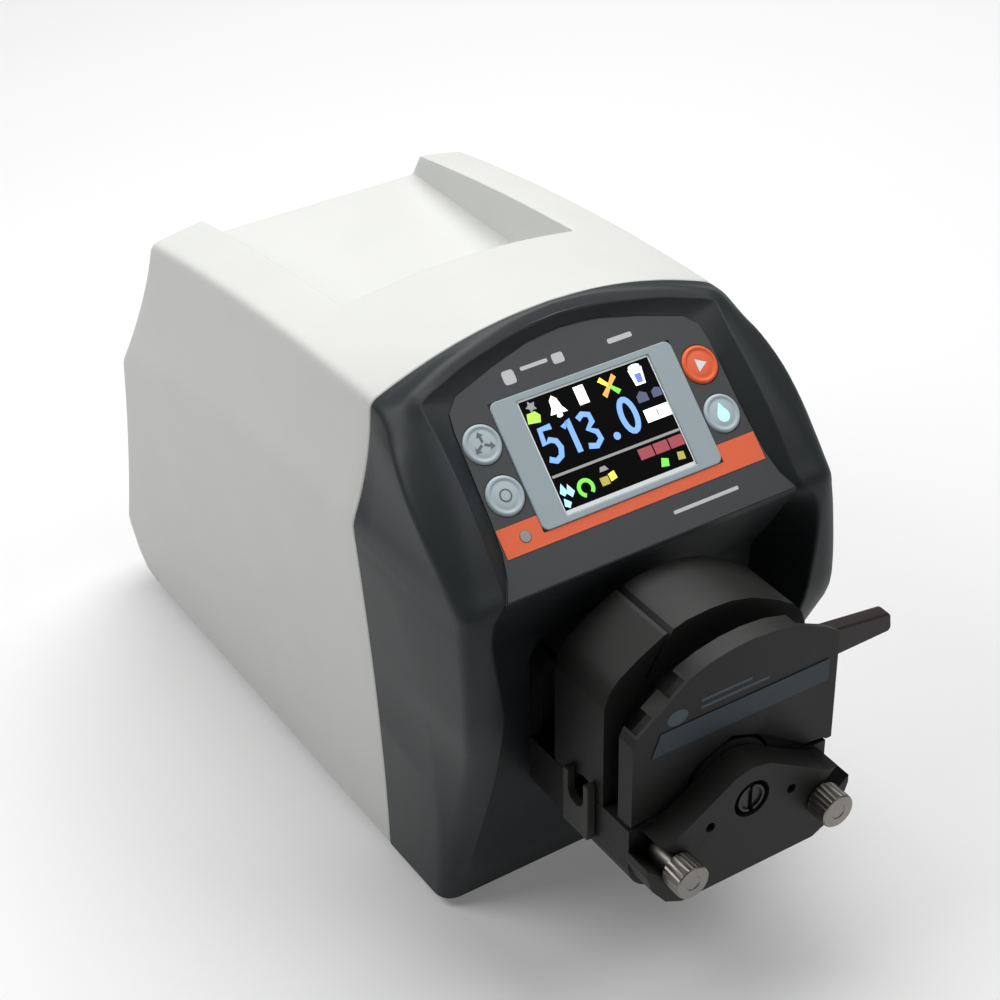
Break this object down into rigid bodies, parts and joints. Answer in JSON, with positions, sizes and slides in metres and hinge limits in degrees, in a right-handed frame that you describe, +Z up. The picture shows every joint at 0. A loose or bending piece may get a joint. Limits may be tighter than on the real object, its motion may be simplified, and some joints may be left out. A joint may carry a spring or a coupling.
{
  "type": "peristaltic pump",
  "caption": "Benchtop peristaltic pump with a tilted display panel on a moulded drive case and an easy-load roller pump head at the front.",
  "frame": {"origin": "centre of the footprint of the whole box, on the plane the feet stand on", "axes": "+X to the right seen from the front, +Y to the rear, +Z up"},
  "size_m": [0.176, 0.3865, 0.2358],
  "materials": {
    "case_plastic": "fine moulded texture",
    "bezel_plastic": "fine moulded texture",
    "sheet_steel": "satin",
    "rubber": "matte",
    "overlay_film": "fine matte film",
    "accent_orange": "satin",
    "clear_grey": "satin",
    "frame_plastic": "satin",
    "display_face": "glossy, lit picture",
    "key_grey": "satin",
    "circuit_board": "solder mask",
    "bright_steel": "turned",
    "alloy": "machined",
    "black_metal": "satin",
    "zinc_steel": "plated",
    "brass": "turned",
    "black_plastic": "moulded",
    "head_plastic": "moulded",
    "label_film": "printed film",
    "lever_plastic": "moulded",
    "roller_plastic": "turned",
    "clamp_plastic": "moulded"
  },
  "bodies": {
    "drive": {"case_shell": "case_plastic", "front_bezel": "bezel_plastic", "base_plate": "sheet_steel", "rubber_feet": "rubber", "rear_panel": "sheet_steel", "panel_overlay": "overlay_film", "accent_strip": "accent_orange", "indicator_window": "clear_grey", "display_frame": "frame_plastic", "display_glass": "display_face", "display_module": "bright_steel", "key_board": "circuit_board", "motor_bracket": "sheet_steel", "motor_body": "black_metal", "motor_end_cap": "alloy", "motor_screws": "bright_steel", "power_supply": "zinc_steel", "control_board": "circuit_board", "board_standoffs": "brass", "fan_frame": "black_plastic", "fan_guard": "bright_steel", "fan_screws": "bright_steel", "power_inlet": "black_plastic", "switch_frame": "black_plastic", "rocker_pin": "bright_steel", "fuse_holder": "black_plastic", "signal_connector": "zinc_steel", "rear_screws": "bright_steel", "head_adapter": "head_plastic", "lower_body": "head_plastic", "front_cover": "head_plastic", "front_bearing": "bright_steel", "rear_bearing": "bright_steel", "guide_pins": "bright_steel"},
    "rotor": {"rotor_hub": "bright_steel", "roller_plates": "alloy", "roller_pins": "bright_steel", "drive_shaft": "bright_steel", "shaft_coupling": "alloy"},
    "roller_1": {"roller_1": "roller_plastic"},
    "roller_2": {"roller_2": "roller_plastic"},
    "roller_3": {"roller_3": "roller_plastic"},
    "pressing_unit": {"pressing_block": "head_plastic", "occlusion_bed": "alloy", "label_block": "head_plastic", "head_label": "label_film", "lever_pin": "bright_steel", "block_screws": "bright_steel"},
    "lever": {"lever": "lever_plastic"},
    "clamp_left": {"tube_clamp_left": "clamp_plastic"},
    "clamp_right": {"tube_clamp_right": "clamp_plastic"},
    "screw_left": {"thumb_screw_left": "bright_steel"},
    "screw_right": {"thumb_screw_right": "bright_steel"},
    "key_upper_left": {"key_upper_left": "key_grey"},
    "key_lower_left": {"key_lower_left": "key_grey"},
    "key_upper_right": {"key_upper_right": "accent_orange"},
    "key_lower_right": {"key_lower_right": "key_grey"},
    "rocker": {"switch_rocker": "black_plastic"},
    "fan": {"fan_rotor": "black_plastic"}
  },
  "joints": [
    {"name": "rotor_spin", "type": "hinge", "parent": "drive", "child": "rotor", "pos_m": [0, -0.1386, 0.0882], "axis": [0, 1, 0], "continuous": true},
    {"name": "roller_1_spin", "type": "hinge", "parent": "rotor", "child": "roller_1", "pos_m": [0, -0.1386, 0.0697], "axis": [0, 1, 0], "continuous": true},
    {"name": "roller_2_spin", "type": "hinge", "parent": "rotor", "child": "roller_2", "pos_m": [-0.01602, -0.1386, 0.09745], "axis": [0, 1, 0], "continuous": true},
    {"name": "roller_3_spin", "type": "hinge", "parent": "rotor", "child": "roller_3", "pos_m": [0.01602, -0.1386, 0.09745], "axis": [0, 1, 0], "continuous": true},
    {"name": "block_lift", "type": "slide", "parent": "drive", "child": "pressing_unit", "axis": [0, 0, 1], "range_m": [0, 0.005]},
    {"name": "lever_turn", "type": "hinge", "parent": "pressing_unit", "child": "lever", "pos_m": [0.038, -0.1636, 0.129], "axis": [0, -1, 0], "range_deg": [0, 90]},
    {"name": "clamp_left_slide", "type": "slide", "parent": "drive", "child": "clamp_left", "axis": [0, 0, -1], "range_m": [0, 0.006]},
    {"name": "clamp_right_slide", "type": "slide", "parent": "drive", "child": "clamp_right", "axis": [0, 0, -1], "range_m": [0, 0.006]},
    {"name": "screw_left_turn", "type": "hinge", "parent": "drive", "child": "screw_left", "pos_m": [-0.0339, -0.1806, 0.072], "axis": [0, 1, 0], "continuous": true},
    {"name": "screw_right_turn", "type": "hinge", "parent": "drive", "child": "screw_right", "pos_m": [0.0339, -0.1806, 0.072], "axis": [0, 1, 0], "continuous": true},
    {"name": "key_upper_left_press", "type": "slide", "parent": "drive", "child": "key_upper_left", "axis": [0, 0.6972, -0.7169], "range_m": [0, 0.0008], "stiffness_N_per_m": 400},
    {"name": "key_lower_left_press", "type": "slide", "parent": "drive", "child": "key_lower_left", "axis": [0, 0.6972, -0.7169], "range_m": [0, 0.0008], "stiffness_N_per_m": 400},
    {"name": "key_upper_right_press", "type": "slide", "parent": "drive", "child": "key_upper_right", "axis": [0, 0.6972, -0.7169], "range_m": [0, 0.0008], "stiffness_N_per_m": 400},
    {"name": "key_lower_right_press", "type": "slide", "parent": "drive", "child": "key_lower_right", "axis": [0, 0.6972, -0.7169], "range_m": [0, 0.0008], "stiffness_N_per_m": 400},
    {"name": "rocker_tilt", "type": "hinge", "parent": "drive", "child": "rocker", "pos_m": [-0.042, 0.16513, 0.09982], "axis": [1, 0, 0], "range_deg": [0, 18]},
    {"name": "fan_spin", "type": "hinge", "parent": "drive", "child": "fan", "pos_m": [0.04, 0.14794, 0.12971], "axis": [0, 0.9444, 0.3289], "continuous": true}
  ],
  "couplings": [
    {"joint": "roller_1_spin", "follows": "rotor_spin", "ratio": -3.6429},
    {"joint": "roller_2_spin", "follows": "rotor_spin", "ratio": -3.6429},
    {"joint": "roller_3_spin", "follows": "rotor_spin", "ratio": -3.6429},
    {"joint": "lever_turn", "follows": "block_lift", "rad_per_m": 314.16}
  ]
}
